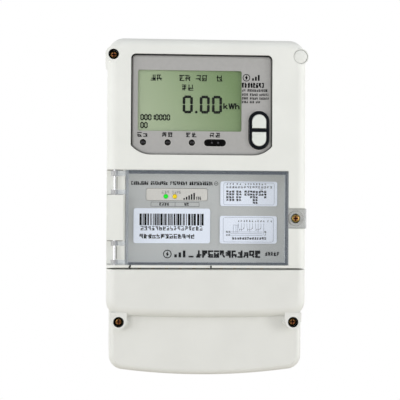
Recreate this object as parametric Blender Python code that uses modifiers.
"""Three-phase prepaid electricity meter, as an assembly of separate named pieces.

Metres, +Z up, +X to the right, and the meter's front faces -Y. The origin is the middle of the
back mounting face, so every piece sits at Y below zero. Depths are given as (back, front).
"""
import math

import bpy
import bmesh
from mathutils import Matrix, Vector

# ---- driving dimensions -------------------------------------------------------------------------
GAP = 0.0003            # clearance between pieces that touch
WALL = 0.0025           # moulded wall thickness
HALF_WIDTH = 0.083      # of the housing, without the corner bosses
TOP = 0.140
HOUSING_CORNER = 0.014
HOUSING_FRONT = -0.080
HOUSING_BACK = -0.031   # parting face of the front housing
RIM_FRONT = -0.029      # parting face of the rear base
EDGE_FILLET = 0.008     # of the housing's front edges
HOUSING_BOTTOM = -0.0512

COVER_TOP = -0.0518
COVER_BACK = -0.0030
COVER_STEP_FRONT = -0.072      # front of the lower, set-back part of the terminal cover
COVER_LOWER_HALF_WIDTH = 0.0805
COVER_STEP_BOTTOM = -0.092
COVER_BOTTOM = -0.140
COVER_BOTTOM_RADIUS = 0.531    # of the wide arc along the bottom edge
COVER_CORNER = 0.012

BOSS_X = 0.078          # the two upper corner bosses
BOSS_Z = 0.126
BOSS_RADIUS = 0.0068
BOSS_FRONT = -0.0795
CAP_RADIUS = 0.0056     # of the blank cap in the right-hand boss
COVER_BOSS_X = 0.0726
COVER_BOSS_Z = -0.0957
COVER_BOSS_RADIUS = 0.0062
COVER_BOSS_FRONT = -0.0785
POST_FRONT = -0.018     # front of the posts that take the cover screws

DISPLAY_LOW = (-0.0635, 0.0429)     # corners of the display opening, as (X, Z)
DISPLAY_HIGH = (0.0544, 0.1267)
DISPLAY_TOP_CORNER = 0.004
DISPLAY_SWEEP_RADIUS = 0.022        # of the two wide arcs at its lower corners
DISPLAY_SWEEP_X = (-0.0468, 0.0377)
FACEPLATE = (-0.0757, -0.0772)
LCD_LOW = (-0.0578, 0.0628)
LCD_HIGH = (0.0288, 0.1135)
LED_X = (-0.0533, -0.0328, -0.0127)
LED_Z = 0.0533
LED_RADIUS = 0.0024
INFRARED_LOW = (-0.0023, 0.0506)
INFRARED_HIGH = (0.0155, 0.0560)

KEYS_X = 0.04345        # middle of the key surround
KEYS_LOW = 0.0481
KEYS_HIGH = 0.0801
KEYS_HALF_WIDTH = 0.00865
KEY_HALF_WIDTH = 0.00615
KEY_BAR = (0.0629, 0.0655)          # bar between the keys, as (low Z, high Z)
KEY_FRONT = -0.0794

DISPLAY_BOARD = (-0.0669, -0.0685)
MAIN_BOARD = (-0.0340, -0.0356)

DOOR_LOW = (-0.0673, -0.0483)
DOOR_HIGH = (0.0681, 0.0300)
DOOR_BACK = -0.0680
DOOR_WALL = 0.0020
BAY_GAP = 0.0004
BAY_FLOOR = -0.0650
NOTCH_FLOOR = -0.0700
HINGE_X = -0.0765
HINGE_Y = -0.0760
KNUCKLE_RADIUS = 0.00305
ROD_RADIUS = 0.0011
KNUCKLES = ((0.0250, 0.0295), (0.0097, 0.0137), (-0.0326, -0.0288), (-0.0483, -0.0443))
HINGE_BLOCK_Z = (-0.0282, 0.0094)
CLASP_X = 0.0744
CLASP_Z = -0.0093
CLASP_HALF_HEIGHT = 0.0083
CLASP_END = 0.0832
CLASP_FRONT = -0.082
CLASP_FLOOR = -0.0735

NAMEPLATE = (-0.0653, -0.0659)
LABEL = (-0.0662, -0.0665)
MODULE_WINDOW_LOW = (-0.0500, 0.0053)
MODULE_WINDOW_HIGH = (0.0014, 0.0153)
LAMP_Z = 0.0087
LAMP_RADIUS = 0.0018
LAMP_X = {"module_lamp_green": -0.0335, "module_lamp_yellow": -0.0260}

TERMINAL_COUNT = 10
TERMINAL_PITCH = 0.012
BLOCK_LOW = (-0.062, -0.104)
BLOCK_HIGH = (0.062, -0.062)
BLOCK = (-0.0028, -0.042)
CHAMBER = (-0.0137, -0.0303)
TAIL = (-0.0140, -0.0152)
TERMINAL_SCREW_Z = (-0.0760, -0.0900)

HOOK_TOP = 0.138           # with the hook pushed in
WALL_HOLE_X = 0.070
WALL_HOLE_Z = -0.118

SEGMENTS = 24           # sides of an ordinary round piece
SMALL_SEGMENTS = 16


# ---- scene and materials ------------------------------------------------------------------------
for old in list(bpy.data.objects):
    bpy.data.objects.remove(old)

METER = bpy.data.collections.new("prepaid_electricity_meter")
CUTTERS = bpy.data.collections.new("cutters")
for collection in (METER, CUTTERS):
    bpy.context.scene.collection.children.link(collection)


def material(name, colour, roughness, metallic=0.0, transmission=0.0):
    made = bpy.data.materials.new(name)
    made.use_nodes = True
    made.diffuse_color = (*colour, 1.0)
    shader = made.node_tree.nodes["Principled BSDF"]
    shader.inputs["Base Color"].default_value = (*colour, 1.0)
    shader.inputs["Roughness"].default_value = roughness
    shader.inputs["Metallic"].default_value = metallic
    shader.inputs["Transmission Weight"].default_value = transmission
    return made


WHITE = material("white_plastic", (0.78, 0.79, 0.76), 0.45)
COVER_WHITE = material("cover_plastic", (0.74, 0.75, 0.72), 0.45)
GREY_PLATE = material("grey_plate", (0.41, 0.41, 0.39), 0.55)
NAMEPLATE_GREY = material("nameplate_grey", (0.42, 0.45, 0.44), 0.50)
LABEL_WHITE = material("label_paper", (0.70, 0.74, 0.84), 0.55)
CLEAR = material("clear_plastic", (0.90, 0.93, 0.95), 0.08, transmission=0.9)
LCD_GREEN = material("lcd_green", (0.33, 0.43, 0.26), 0.25)
DIFFUSER = material("diffuser", (0.80, 0.86, 0.78), 0.60)
BLACK_GLOSS = material("black_gloss", (0.010, 0.011, 0.013), 0.20)
PHENOLIC = material("black_phenolic", (0.020, 0.020, 0.022), 0.45)
RUBBER = material("grey_rubber", (0.10, 0.10, 0.10), 0.80)
BRASS = material("brass", (0.72, 0.48, 0.18), 0.30, metallic=1.0)
ZINC = material("yellow_zinc", (0.60, 0.38, 0.20), 0.35, metallic=1.0)
STEEL = material("steel", (0.62, 0.62, 0.64), 0.30, metallic=1.0)
BOARD_GREEN = material("board_green", (0.02, 0.16, 0.06), 0.50)
WINDING = material("winding_tape", (0.62, 0.45, 0.06), 0.55)
BATTERY_BLUE = material("battery_sleeve", (0.03, 0.09, 0.32), 0.40)
BEIGE = material("beige_plastic", (0.58, 0.57, 0.53), 0.50)
LAMP_GREEN = material("lamp_green", (0.03, 0.85, 0.05), 0.20)
LAMP_YELLOW = material("lamp_yellow", (0.90, 0.70, 0.01), 0.20)
AUX_GREEN = material("aux_green", (0.05, 0.30, 0.12), 0.45)


# ---- outlines, as lists of (X, Z) points --------------------------------------------------------
def arc(centre, radius, start, end, steps):
    """Points from angle start to angle end, both in degrees and both included."""
    angles = [math.radians(start + (end - start) * i / steps) for i in range(steps + 1)]
    return [(centre[0] + radius * math.cos(a), centre[1] + radius * math.sin(a)) for a in angles]


def rectangle(low, high, radius=0.0, steps=4, grow=0.0):
    """An upright rectangle, with all corners rounded where radius isn't zero."""
    x0, z0 = low[0] - grow, low[1] - grow
    x1, z1 = high[0] + grow, high[1] + grow
    r = radius + grow if radius else 0.0
    if not r:
        return [(x0, z0), (x1, z0), (x1, z1), (x0, z1)]
    corners = ((x1 - r, z0 + r, -90), (x1 - r, z1 - r, 0), (x0 + r, z1 - r, 90), (x0 + r, z0 + r, 180))
    return [p for cx, cz, a in corners for p in arc((cx, cz), r, a, a + 90, steps)]


def pill(low, high, grow=0.0, steps=8):
    """A rectangle whose shorter sides are half circles."""
    half = min(high[0] - low[0], high[1] - low[1]) / 2
    return rectangle(low, high, half - 0.00005, steps, grow)


def circle(centre, radius, segments=SEGMENTS):
    return arc(centre, radius, 0, 360 * (segments - 1) / segments, segments - 1)


def case_outline(inset=0.0, bottom=HOUSING_BOTTOM, steps=6):
    """The meter's upper body: straight bottom, rounded upper corners."""
    half, top, r = HALF_WIDTH - inset, TOP - inset, HOUSING_CORNER - inset
    return (
        [(-half, bottom + inset), (half, bottom + inset)]
        + arc((half - r, top - r), r, 0, 90, steps)
        + arc((-half + r, top - r), r, 90, 180, steps)
    )


def lower_outline(top, inset=0.0, steps=6, bottom_steps=8):
    """The body below the terminals: rounded corners joined by one wide arc."""
    half = COVER_LOWER_HALF_WIDTH - inset
    corner = COVER_CORNER - inset
    wide = COVER_BOTTOM_RADIUS - inset
    wide_z = COVER_BOTTOM + COVER_BOTTOM_RADIUS
    corner_x = half - corner
    corner_z = wide_z - math.sqrt((wide - corner) ** 2 - corner_x**2)
    slope = math.degrees(math.asin(corner_x / (wide - corner)))
    left = arc((-corner_x, corner_z), corner, 180, 270 - slope, steps)
    bottom = arc((0, wide_z), wide, 270 - slope, 270 + slope, bottom_steps)[1:-1]
    right = arc((corner_x, corner_z), corner, 270 + slope, 360, steps)
    return [(-half, top)] + left + bottom + right + [(half, top)]


def step_outline(inset=0.0, steps=6, bottom_steps=6):
    """The terminal cover's raised upper part, whose lower edge sags slightly in the middle."""
    half, r = HALF_WIDTH - inset, COVER_CORNER
    sag = 0.0015
    low = COVER_STEP_BOTTOM + inset
    left = arc((-half + r, low + r + sag), r, 180, 270, steps)
    right = arc((half - r, low + r + sag), r, 270, 360, steps)
    middle = []
    for i in range(1, bottom_steps):
        share = i / bottom_steps
        across = (2 * share - 1) * (half - r)
        middle.append((across, low + sag * (2 * share - 1) ** 2))
    return [(-half, COVER_TOP - inset)] + left + middle + right + [(half, COVER_TOP - inset)]


def display_outline(grow=0.0, steps=5):
    """The display opening: small upper corners, and wide arcs that meet the sides at an angle."""
    x0, z0 = DISPLAY_LOW[0] - grow, DISPLAY_LOW[1] - grow
    x1, z1 = DISPLAY_HIGH[0] + grow, DISPLAY_HIGH[1] + grow
    r, sweep = DISPLAY_TOP_CORNER + grow, DISPLAY_SWEEP_RADIUS + grow
    left_x, right_x = DISPLAY_SWEEP_X
    sweep_z = z0 + sweep
    left_end = math.degrees(math.acos((left_x - x0) / sweep))
    right_end = math.degrees(math.acos((x1 - right_x) / sweep))
    return (
        arc((left_x, sweep_z), sweep, 180 + left_end, 270, steps)
        + arc((right_x, sweep_z), sweep, 270, 360 - right_end, steps)
        + arc((x1 - r, z1 - r), r, 0, 90, steps)
        + arc((x0 + r, z1 - r), r, 90, 180, steps)
    )


def key_outline(low_z, high_z, round_top, grow=0.0, steps=8):
    """Half of a pill: round at one end, square at the end that faces the other key."""
    half = KEY_HALF_WIDTH + grow
    low, high = low_z - grow, high_z + grow
    if round_top:
        return [(KEYS_X - half, low), (KEYS_X + half, low)] + arc(
            (KEYS_X, high - half), half, 0, 180, steps
        )
    return [(KEYS_X + half, high), (KEYS_X - half, high)] + arc(
        (KEYS_X, low + half), half, 180, 360, steps
    )


# ---- solids -------------------------------------------------------------------------------------
def keep(name, mesh, colour, place=Matrix.Identity(4)):
    """A new object with this mesh: a piece where it has a material, else a cutter."""
    made = bpy.data.objects.new(name, mesh)
    made.matrix_world = place
    if colour is None:
        CUTTERS.objects.link(made)
        made.hide_render = True
        made.display_type = "WIRE"
    else:
        METER.objects.link(made)
        mesh.materials.append(colour)
    return made


def tidy_mesh(mesh):
    """Weld a mesh's seams, point its faces outwards and shade its round parts smooth."""
    work = bmesh.new()
    work.from_mesh(mesh)
    bmesh.ops.remove_doubles(work, verts=work.verts, dist=1e-7)
    bmesh.ops.dissolve_limit(
        work, angle_limit=math.radians(0.5), verts=work.verts, edges=work.edges
    )
    bmesh.ops.recalc_face_normals(work, faces=work.faces)
    work.to_mesh(mesh)
    work.free()
    mesh.shade_smooth()
    mesh.set_sharp_from_angle(angle=math.radians(30))


def plate(name, outlines, depth, colour=None):
    """A flat piece from a closed outline, or from a list of them where the rest are holes."""
    if not isinstance(outlines[0], list):
        outlines = [outlines]
    back, front = depth
    curve = bpy.data.curves.new(name, "CURVE")
    curve.dimensions = "2D"
    curve.fill_mode = "BOTH"
    curve.extrude = (back - front) / 2
    for outline in outlines:
        spline = curve.splines.new("POLY")
        spline.points.add(len(outline) - 1)
        spline.use_cyclic_u = True
        for point, (x, z) in zip(spline.points, outline):
            point.co = (x, z, 0, 1)
    drawn = bpy.data.objects.new(name + "_outline", curve)
    METER.objects.link(drawn)
    bpy.context.view_layer.update()
    mesh = bpy.data.meshes.new_from_object(drawn.evaluated_get(bpy.context.evaluated_depsgraph_get()))
    bpy.data.objects.remove(drawn)
    bpy.data.curves.remove(curve)
    mesh.transform(
        Matrix.Translation((0, (back + front) / 2, 0)) @ Matrix.Rotation(math.pi / 2, 4, "X")
    )
    mesh.name = name
    mesh.materials.clear()
    tidy_mesh(mesh)
    return keep(name, mesh, colour)


def box(name, low, high, colour=None):
    """A box between two (X, Y, Z) corners."""
    work = bmesh.new()
    bmesh.ops.create_cube(work, size=1.0)
    size = [abs(b - a) for a, b in zip(low, high)]
    bmesh.ops.scale(work, vec=size, verts=work.verts)
    mesh = bpy.data.meshes.new(name)
    work.to_mesh(mesh)
    work.free()
    middle = Vector(low).lerp(Vector(high), 0.5)
    mesh.transform(Matrix.Translation(middle))
    return keep(name, mesh, colour)


def cylinder(name, centre, radius, depth, colour=None, segments=SEGMENTS):
    """A round bar along Y, at an (X, Z) centre."""
    back, front = depth
    return upright(name, centre, radius, (front, back), colour, segments, "Y")


def upright(name, centre, radius, reach, colour=None, segments=SEGMENTS, axis="Z"):
    """A round bar along Z or along Y, from reach's low end to its high end."""
    work = bmesh.new()
    bmesh.ops.create_cone(
        work, cap_ends=True, segments=segments, radius1=radius, radius2=radius, depth=reach[1] - reach[0]
    )
    mesh = bpy.data.meshes.new(name)
    work.to_mesh(mesh)
    work.free()
    middle = (reach[0] + reach[1]) / 2
    if axis == "Y":
        place = Matrix.Translation((centre[0], middle, centre[1])) @ Matrix.Rotation(math.pi / 2, 4, "X")
    else:
        place = Matrix.Translation((centre[0], centre[1], middle))
    mesh.transform(place)
    mesh.shade_smooth()
    mesh.set_sharp_from_angle(angle=math.radians(30))
    return keep(name, mesh, colour)


def turned(name, profile, centre, colour, segments=SEGMENTS):
    """A turned piece along Y: profile is (radius, Y) from its front end to its back end."""
    mesh = bpy.data.meshes.new(name)
    work = bmesh.new()
    points = [work.verts.new((radius, 0, -y)) for radius, y in profile]
    for a, b in zip(points, points[1:]):
        work.edges.new((a, b))
    work.to_mesh(mesh)
    work.free()
    place = Matrix.Translation((centre[0], 0, centre[1])) @ Matrix.Rotation(math.pi / 2, 4, "X")
    made = keep(name, mesh, colour, place)
    screw = made.modifiers.new("turn", "SCREW")
    screw.steps = segments
    screw.render_steps = segments
    screw.use_merge_vertices = True
    screw.merge_threshold = 0.00002
    return made


def boolean(target, tool, operation="DIFFERENCE"):
    step = target.modifiers.new(tool.name, "BOOLEAN")
    step.operation = operation
    step.solver = "EXACT"
    step.object = tool
    return target


def cut(target, *tools):
    for tool in tools:
        boolean(target, tool)
    return target


def join(target, *tools):
    for tool in tools:
        boolean(target, tool, "UNION")
    return target


def bevel_front(target, weights, width, segments):
    """Round edges of the front face. weights gives an edge's share of the width from its middle."""
    mesh = target.data
    front = min(v.co.y for v in mesh.vertices)
    layer = mesh.attributes.new("bevel_weight_edge", "FLOAT", "EDGE")
    for edge in mesh.edges:
        a, b = (mesh.vertices[i].co for i in edge.vertices)
        if max(a.y, b.y) < front + GAP:
            layer.data[edge.index].value = weights((a + b) / 2)
    bevel = target.modifiers.new("front_edges", "BEVEL")
    bevel.limit_method = "WEIGHT"
    bevel.width = width
    bevel.segments = segments
    bevel.use_clamp_overlap = False
    return target


# ---- front housing ------------------------------------------------------------------------------
def housing_edge(middle):
    """Full fillet on the top and the sides, and a thin one along the bottom."""
    return 0.1 if middle.z < HOUSING_BOTTOM + GAP else 1.0


def bay_boxes(name, grow):
    """The door bay, the hinge notch and the clasp notch, as cutters grown by a wall or by nothing."""
    front = HOUSING_FRONT - 0.01
    low_z, high_z = DOOR_LOW[1] - BAY_GAP - grow, DOOR_HIGH[1] + BAY_GAP + grow
    bay = box(
        name + "_bay",
        (DOOR_LOW[0] - BAY_GAP - grow, front, low_z),
        (DOOR_HIGH[0] + BAY_GAP + 0.0001 + grow, BAY_FLOOR + grow, high_z),
    )
    hinge = box(
        name + "_hinge",
        (-HALF_WIDTH - 0.01, front, low_z),
        (DOOR_LOW[0] + grow, NOTCH_FLOOR + grow, high_z),
    )
    clasp = box(
        name + "_clasp",
        (DOOR_HIGH[0] - grow, front, CLASP_Z - CLASP_HALF_HEIGHT - BAY_GAP - grow),
        (HALF_WIDTH + 0.01, CLASP_FLOOR + grow, CLASP_Z + CLASP_HALF_HEIGHT + BAY_GAP + grow),
    )
    return bay, hinge, clasp


def boss_at(name, side, radius, depth, colour=None):
    return cylinder(name, (side * BOSS_X, BOSS_Z), radius, depth, colour)


def make_front_housing():
    body = plate("front_housing", case_outline(), (HOUSING_BACK, HOUSING_FRONT), WHITE)
    bevel_front(body, housing_edge, EDGE_FILLET, 4)
    for side, label in ((-1, "left"), (1, "right")):
        join(body, boss_at("boss_" + label, side, BOSS_RADIUS, (HOUSING_BACK, BOSS_FRONT)))
    cavity = plate(
        "housing_cavity", case_outline(WALL), (HOUSING_BACK + 0.001, HOUSING_FRONT + WALL)
    )
    bevel_front(cavity, housing_edge, EDGE_FILLET - WALL, 4)
    cut(cavity, *bay_boxes("wall", WALL))
    cut(cavity, cylinder("clasp_boss", (CLASP_X, CLASP_Z), 0.0055, (-0.060, -0.082)))
    for side, label in ((-1, "left"), (1, "right")):
        cut(cavity, boss_at("boss_core_" + label, side, BOSS_RADIUS, (-0.025, -0.079)))
    cut(body, cavity)
    cut(body, *bay_boxes("opening", 0.0))
    block = box(
        "hinge_block",
        (-0.0820, -0.0792, HINGE_BLOCK_Z[0]),
        (-0.0693, NOTCH_FLOOR + 0.001, HINGE_BLOCK_Z[1]),
    )
    join(body, block)
    cut(body, plate("display_opening", display_outline(), (HOUSING_FRONT + 0.006, HOUSING_FRONT - 0.001)))
    cut(body, upright("rod_bore_upper", (HINGE_X, HINGE_Y), ROD_RADIUS + GAP, (0.0053, 0.0336), segments=12))
    cut(body, upright("rod_bore_lower", (HINGE_X, HINGE_Y), ROD_RADIUS + GAP, (-0.0530, -0.0243), segments=12))
    cut(body, boss_at("screw_counterbore", -1, 0.0044, (-0.0720, -0.0810)))
    cut(body, boss_at("screw_bore", -1, 0.0019, (-0.0300, -0.0730)))
    cut(body, boss_at("cap_recess", 1, CAP_RADIUS + GAP, (-0.0720, -0.0810)))
    cut(body, cylinder("insert_bore", (CLASP_X, CLASP_Z), 0.0035, (-0.0630, -0.0740)))
    window = rectangle(MODULE_WINDOW_LOW, MODULE_WINDOW_HIGH, 0.0015, 3, GAP)
    cut(body, plate("module_opening", window, (-0.0600, -0.0670)))
    for label, x in (("left", -0.0633), ("right", 0.0035)):
        slit = box(
            "slit_" + label, (x - 0.0005, HOUSING_FRONT - 0.001, HOUSING_BOTTOM - 0.001),
            (x + 0.0005, HOUSING_FRONT + 0.006, HOUSING_BOTTOM + 0.005),
        )
        cut(body, slit)


# ---- rear base, hook and gasket -----------------------------------------------------------------
def back_outline():
    """The whole meter seen from behind: the upper body's width, then the cover's lower part."""
    shoulder = COVER_STEP_BOTTOM + COVER_CORNER
    lower = lower_outline(shoulder - 0.006)
    return lower + [(HALF_WIDTH, shoulder)] + case_outline()[2:] + [(-HALF_WIDTH, shoulder)]


def make_rear_base():
    body = plate("rear_base", back_outline(), (0.0, -WALL), WHITE)
    rim = plate("rim", [case_outline(0.0002), case_outline(WALL)], (-0.0015, RIM_FRONT))
    join(body, rim)
    for side, label in ((-1, "left"), (1, "right")):
        join(body, boss_at("base_boss_" + label, side, BOSS_RADIUS - 0.0001, (-0.0012, RIM_FRONT)))
        centre = (side * COVER_BOSS_X, COVER_BOSS_Z)
        join(body, cylinder("post_" + label, centre, 0.0048, (-0.0015, POST_FRONT)))
        cut(body, cylinder("post_bore_" + label, centre, 0.0023, (-0.0010, POST_FRONT - 0.001)))
        hole = (side * WALL_HOLE_X, WALL_HOLE_Z)
        join(body, cylinder("lug_" + label, hole, 0.0060, (-0.0012, -0.0042)))
        cut(body, cylinder("wall_hole_" + label, hole, 0.0026, (0.001, -0.006), segments=SMALL_SEGMENTS))
    cut(body, boss_at("screw_bore_base", -1, 0.0019, (-0.012, -0.030)))
    join(body, box("hook_housing", (-0.0155, -0.0062, 0.0980), (0.0155, -0.0015, TOP - 0.001)))
    cut(body, box("hook_channel", (-0.0123, -0.0036, 0.1010), (0.0123, -0.0009, TOP + 0.010)))
    cut(body, box("hook_slot", (-0.0090, -0.0020, 0.1030), (0.0090, 0.0010, TOP + 0.010)))
    for i in range(TERMINAL_COUNT):
        x = terminal_x(i)
        slot = box("tail_slot_%d" % (i + 1), (x - 0.0021, -0.0160, -0.053), (x + 0.0021, -0.0132, -0.047))
        cut(body, slot)


def make_hook():
    shape = rectangle((-0.0120, 0.1050), (0.0120, HOOK_TOP), 0.0030)
    hole = circle((0.0, 0.1310), 0.0027, SMALL_SEGMENTS)
    plate("hanging_hook", [shape, hole], (-0.0012, -0.0033), STEEL)


def make_gasket():
    loop = [case_outline(0.0004), case_outline(0.0021)]
    plate("housing_gasket", loop, (RIM_FRONT - GAP, HOUSING_BACK + GAP), RUBBER)


# ---- display ------------------------------------------------------------------------------------
def key_surround_outline(grow=0.0):
    low = (KEYS_X - KEYS_HALF_WIDTH, KEYS_LOW)
    high = (KEYS_X + KEYS_HALF_WIDTH, KEYS_HIGH)
    return pill(low, high, grow)


def make_display():
    holes = [rectangle(LCD_LOW, LCD_HIGH, 0.0013), key_surround_outline(GAP)]
    holes += [circle((x, LED_Z), LED_RADIUS + GAP, SMALL_SEGMENTS) for x in LED_X]
    holes += [pill(INFRARED_LOW, INFRARED_HIGH, GAP)]
    plate("display_faceplate", [display_outline(0.003)] + holes, FACEPLATE, GREY_PLATE)
    plate("display_window", rectangle(LCD_LOW, LCD_HIGH, 0.0013, grow=-GAP), (-0.0759, -0.0769), CLEAR)
    plate("lcd_panel", rectangle(LCD_LOW, LCD_HIGH, grow=0.0033), (-0.0734, -0.0754), LCD_GREEN)
    plate("lcd_backlight", rectangle(LCD_LOW, LCD_HIGH, grow=0.0025), (-0.0709, -0.0731), DIFFUSER)
    board = rectangle((-0.0615, 0.0460), (0.0525, 0.1240))
    plate("display_board", board, DISPLAY_BOARD, BOARD_GREEN)
    for name, x in zip(("led_active", "led_reactive", "led_trip"), LED_X):
        cylinder(name, (x, LED_Z), LED_RADIUS, (DISPLAY_BOARD[1] - GAP, -0.0775), BLACK_GLOSS, SMALL_SEGMENTS)
    plate("infrared_window", pill(INFRARED_LOW, INFRARED_HIGH), (-0.0757, -0.0775), BLACK_GLOSS)


def make_keys():
    upper = (KEY_BAR[1], KEYS_HIGH - (KEYS_HALF_WIDTH - KEY_HALF_WIDTH), True)
    lower = (KEYS_LOW + (KEYS_HALF_WIDTH - KEY_HALF_WIDTH), KEY_BAR[0], False)
    openings = [key_outline(*upper), key_outline(*lower)]
    plate("key_surround", [key_surround_outline()] + openings, (-0.0735, -0.0786), BLACK_GLOSS)
    for name, span in (("key_upper", upper), ("key_lower", lower)):
        cap = plate(name, key_outline(*span, grow=-GAP), (-0.0723, KEY_FRONT), WHITE)
        bevel_front(cap, lambda middle: 1.0, 0.0006, 2)
        join(cap, plate(name + "_flange", key_outline(*span, grow=0.0008), (-0.0722, -0.0732)))
        centre_z = (span[0] + span[1]) / 2
        switch = box(
            name.replace("key", "switch"),
            (KEYS_X - 0.0030, DISPLAY_BOARD[1] - 0.0019, centre_z - 0.0030),
            (KEYS_X + 0.0030, DISPLAY_BOARD[1] - GAP, centre_z + 0.0030),
            BLACK_GLOSS,
        )
        plunger = (-0.0690, -0.0710)
        join(switch, cylinder(name + "_plunger", (KEYS_X, centre_z), 0.0016, plunger, segments=SMALL_SEGMENTS))


# ---- door, hinge and nameplate ------------------------------------------------------------------
def make_door():
    body = plate("door", rectangle(DOOR_LOW, DOOR_HIGH, 0.0008, 2), (DOOR_BACK, HOUSING_FRONT), CLEAR)
    inside = rectangle(DOOR_LOW, DOOR_HIGH, grow=-DOOR_WALL)
    cut(body, plate("door_inside", inside, (DOOR_BACK + 0.001, HOUSING_FRONT + DOOR_WALL)))
    for i, (low, high) in enumerate(KNUCKLES):
        strap = box(
            "strap_%d" % (i + 1), (HINGE_X, -0.0790, low + 0.0001), (DOOR_LOW[0] + 0.001, -0.0770, high - 0.0001)
        )
        join(body, strap)
        join(body, upright("knuckle_%d" % (i + 1), (HINGE_X, HINGE_Y), KNUCKLE_RADIUS, (low, high)))
        bore = (low - 0.001, high + 0.001)
        cut(body, upright("knuckle_bore_%d" % (i + 1), (HINGE_X, HINGE_Y), ROD_RADIUS + GAP, bore, segments=12))
    tab = box(
        "clasp_tab",
        (DOOR_HIGH[0] - 0.001, -0.0798, CLASP_Z - CLASP_HALF_HEIGHT),
        (CLASP_END, -0.0772, CLASP_Z + CLASP_HALF_HEIGHT),
    )
    join(body, tab)
    centre = (CLASP_X, CLASP_Z)
    join(body, cylinder("clasp_ring", centre, 0.0060, (-0.0742, CLASP_FRONT)))
    cut(body, cylinder("clasp_counterbore", centre, 0.0042, (-0.0770, CLASP_FRONT - 0.001)))
    cut(body, cylinder("clasp_bore", centre, 0.0019, (-0.0730, -0.0780), segments=SMALL_SEGMENTS))


def make_hinge_rods():
    upright("hinge_rod_upper", (HINGE_X, HINGE_Y), ROD_RADIUS, (0.0057, 0.0332), STEEL, 12)
    upright("hinge_rod_lower", (HINGE_X, HINGE_Y), ROD_RADIUS, (-0.0508, -0.0247), STEEL, 12)


def make_nameplate():
    window_hole = rectangle(MODULE_WINDOW_LOW, MODULE_WINDOW_HIGH, 0.0015, 3, GAP)
    sheet = rectangle(DOOR_LOW, DOOR_HIGH, grow=-0.0002)
    plate("nameplate", [sheet, window_hole], NAMEPLATE, NAMEPLATE_GREY)
    lamps = [circle((x, LAMP_Z), LAMP_RADIUS + GAP, 12) for x in LAMP_X.values()]
    window = rectangle(MODULE_WINDOW_LOW, MODULE_WINDOW_HIGH, 0.0015, 3)
    plate("module_window", [window] + lamps, (-0.0623, -0.0661), BEIGE)
    for name, x in LAMP_X.items():
        tint = LAMP_GREEN if name.endswith("green") else LAMP_YELLOW
        cylinder(name, (x, LAMP_Z), LAMP_RADIUS, (-0.0623, -0.0664), tint, 12)
    labels = {
        "barcode_label": ((-0.0605, -0.0306), (0.0038, -0.0013)),
        "pinout_label": ((0.0123, 0.0009), (0.0605, 0.0217)),
        "wiring_label": ((0.0119, -0.0306), (0.0602, -0.0073)),
    }
    for name, (low, high) in labels.items():
        plate(name, rectangle(low, high, 0.0018, 3), LABEL, LABEL_WHITE)


# ---- screws -------------------------------------------------------------------------------------
def make_screw(name, centre, head_front, tip, head_radius=0.0033):
    """A cross-recess sealing screw along Y, with its head's front and its tip given as Y."""
    shank = 0.0015
    neck = head_front + 0.0024
    profile = [
        (0.0, head_front), (head_radius - 0.0006, head_front), (head_radius, head_front + 0.0006),
        (head_radius, neck), (shank, neck), (shank, tip - 0.0012), (0.0, tip),
    ]
    body = turned(name, profile, centre, ZINC, SMALL_SEGMENTS)
    x, z = centre
    long, thin = 0.0021, 0.00045
    for label, half_x, half_z in (("across", long, thin), ("upright", thin, long)):
        arm = box(
            name + "_" + label, (x - half_x, head_front - 0.001, z - half_z),
            (x + half_x, head_front + 0.0013, z + half_z),
        )
        cut(body, arm)


def make_screws():
    make_screw("housing_screw", (-BOSS_X, BOSS_Z), -0.0752, -0.0150)
    make_screw("door_screw", (CLASP_X, CLASP_Z), -0.0797, -0.0660)
    for side, label in ((-1, "left"), (1, "right")):
        make_screw("cover_screw_" + label, (side * COVER_BOSS_X, COVER_BOSS_Z), -0.0750, -0.0080)
    boss_at("blank_cap", 1, CAP_RADIUS, (-0.0723, -0.0796), WHITE)
    insert = [
        circle((CLASP_X, CLASP_Z), 0.0032, SMALL_SEGMENTS),
        circle((CLASP_X, CLASP_Z), 0.0023, SMALL_SEGMENTS),
    ]
    plate("door_screw_insert", insert, (-0.0633, -0.0732), BRASS)


# ---- terminal cover -----------------------------------------------------------------------------
def step_edge(middle):
    """Full fillet on the sides and along the step, and a thin one along the top."""
    return 0.12 if middle.z > COVER_TOP - GAP else 1.0


def cover_boss(name, side, depth):
    """A screw boss and the web that ties it to the step above."""
    outer = side * (COVER_LOWER_HALF_WIDTH - 0.0010)
    inner = side * 0.0658
    boss = cylinder(name, (side * COVER_BOSS_X, COVER_BOSS_Z), COVER_BOSS_RADIUS, depth)
    web = box(
        name + "_web",
        (min(inner, outer), depth[1], COVER_BOSS_Z),
        (max(inner, outer), depth[0] - 0.0002, COVER_BOSS_Z + 0.0080),
    )
    return boss, web


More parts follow.
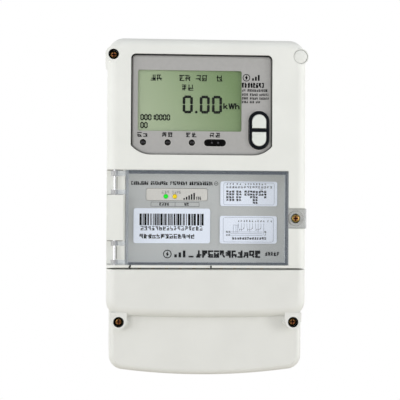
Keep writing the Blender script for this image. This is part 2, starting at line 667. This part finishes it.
def make_terminal_cover():
    lower = lower_outline(COVER_STEP_BOTTOM + 0.010)
    body = plate("terminal_cover", step_outline(), (COVER_BACK - 0.0002, HOUSING_FRONT), COVER_WHITE)
    bevel_front(body, step_edge, EDGE_FILLET, 4)
    skirt = plate("cover_skirt", lower, (COVER_BACK, COVER_STEP_FRONT))
    bevel_front(skirt, lambda middle: 1.0 if middle.z < COVER_STEP_BOTTOM + 0.009 else 0.0, 0.005, 3)
    join(body, skirt)
    for side, label in ((-1, "left"), (1, "right")):
        join(body, *cover_boss("cover_boss_" + label, side, (-0.0640, COVER_BOSS_FRONT)))
    upper_cavity = plate(
        "cover_upper_cavity", step_outline(WALL), (COVER_BACK + 0.001, HOUSING_FRONT + WALL)
    )
    bevel_front(upper_cavity, step_edge, EDGE_FILLET - WALL, 4)
    lower_cavity = plate(
        "cover_lower_cavity", lower_outline(COVER_STEP_BOTTOM + 0.006, WALL),
        (COVER_BACK + 0.002, COVER_STEP_FRONT + WALL),
    )
    for cavity in (upper_cavity, lower_cavity):
        for side, label in ((-1, "left"), (1, "right")):
            centre = (side * COVER_BOSS_X, COVER_BOSS_Z)
            depth = (POST_FRONT - GAP, -0.085)
            cut(cavity, cylinder(cavity.name + "_core_" + label, centre, 0.0055, depth))
        cut(body, cavity)
    for side, label in ((-1, "left"), (1, "right")):
        centre = (side * COVER_BOSS_X, COVER_BOSS_Z)
        cut(body, cylinder("cover_counterbore_" + label, centre, 0.0044, (-0.0720, -0.080)))
        cut(body, cylinder("cover_bore_" + label, centre, 0.0019, (-0.0150, -0.073), segments=SMALL_SEGMENTS))
    inner_half = HALF_WIDTH - WALL
    cut(body, box("top_opening", (-inner_half, -0.0700, -0.0560), (inner_half, 0.0, -0.0500)))
    cut(body, box("cable_slot", (-0.0620, -0.0420, -0.1450), (0.0620, 0.0, -0.1200)))


# ---- terminals ----------------------------------------------------------------------------------
def terminal_x(index):
    return (index - (TERMINAL_COUNT - 1) / 2) * TERMINAL_PITCH


def make_terminal_block():
    body = plate("terminal_block", rectangle(BLOCK_LOW, BLOCK_HIGH), BLOCK, PHENOLIC)
    for i in range(TERMINAL_COUNT):
        x = terminal_x(i)
        label = str(i + 1)
        chamber = box(
            "chamber_" + label, (x - 0.0045, CHAMBER[1], BLOCK_LOW[1] - 0.001), (x + 0.0045, CHAMBER[0], -0.0677)
        )
        slot = box("slot_" + label, (x - 0.0018, -0.0155, -0.0700), (x + 0.0018, CHAMBER[0] - 0.0001, -0.0600))
        cut(body, chamber, slot)
        for row, z in zip(("upper", "lower"), TERMINAL_SCREW_Z):
            access = cylinder(
                "access_%s_%s" % (label, row), (x, z), 0.0030, (-0.0290, BLOCK[1] - 0.001), segments=SMALL_SEGMENTS
            )
            cut(body, access)


def make_terminal(index):
    x = terminal_x(index)
    label = str(index + 1)
    body = box("terminal_" + label, (x - 0.0042, -0.0300, -0.0980), (x + 0.0042, -0.0140, -0.0680), BRASS)
    join(body, box("tail_" + label, (x - 0.0015, TAIL[1], -0.0690), (x + 0.0015, TAIL[0] - 0.0001, -0.0465)))
    bore = upright("wire_bore_" + label, (x, -0.0220), 0.0024, (-0.0990, -0.0720), segments=12)
    cut(body, bore)
    for row, z in zip(("upper", "lower"), TERMINAL_SCREW_Z):
        thread = cylinder("thread_%s_%s" % (label, row), (x, z), 0.0017, (-0.0220, -0.0310), segments=12)
        cut(body, thread)


def make_auxiliary_strip():
    body = box("auxiliary_terminals", (-0.0560, -0.0460, -0.0610), (0.0560, -0.0280, -0.0535), AUX_GREEN)
    count = 12
    for i in range(count):
        x = (i - (count - 1) / 2) * 0.009
        cut(body, cylinder("aux_screw_%d" % (i + 1), (x, -0.0572), 0.0019, (-0.0420, -0.0470), segments=12))


# ---- electronics --------------------------------------------------------------------------------
def make_electronics():
    plate("main_board", rectangle((-0.0720, -0.0440), (0.0720, 0.1120)), MAIN_BOARD, BOARD_GREEN)
    for i, x in enumerate((-0.036, 0.0, 0.036)):
        name = "current_transformer_%d" % (i + 1)
        ring = [circle((x, -0.026), 0.0125), circle((x, -0.026), 0.0050, SMALL_SEGMENTS)]
        plate(name, ring, (-0.0200, MAIN_BOARD[0] + GAP), WINDING)
    box("power_transformer", (-0.0620, -0.0600, 0.0600), (-0.0220, MAIN_BOARD[1] - GAP, 0.0960), WINDING)
    upright("backup_battery", (0.022, -0.0434), 0.0072, (0.0700, 0.0950), BATTERY_BLUE)
    box("communication_module", (-0.0550, -0.0620, -0.0360), (0.0060, MAIN_BOARD[1] - GAP, 0.0240), PHENOLIC)


make_front_housing()
make_rear_base()
make_hook()
make_gasket()
make_display()
make_keys()
make_door()
make_hinge_rods()
make_nameplate()
make_screws()
make_terminal_cover()
make_terminal_block()
for terminal in range(TERMINAL_COUNT):
    make_terminal(terminal)
make_auxiliary_strip()
make_electronics()
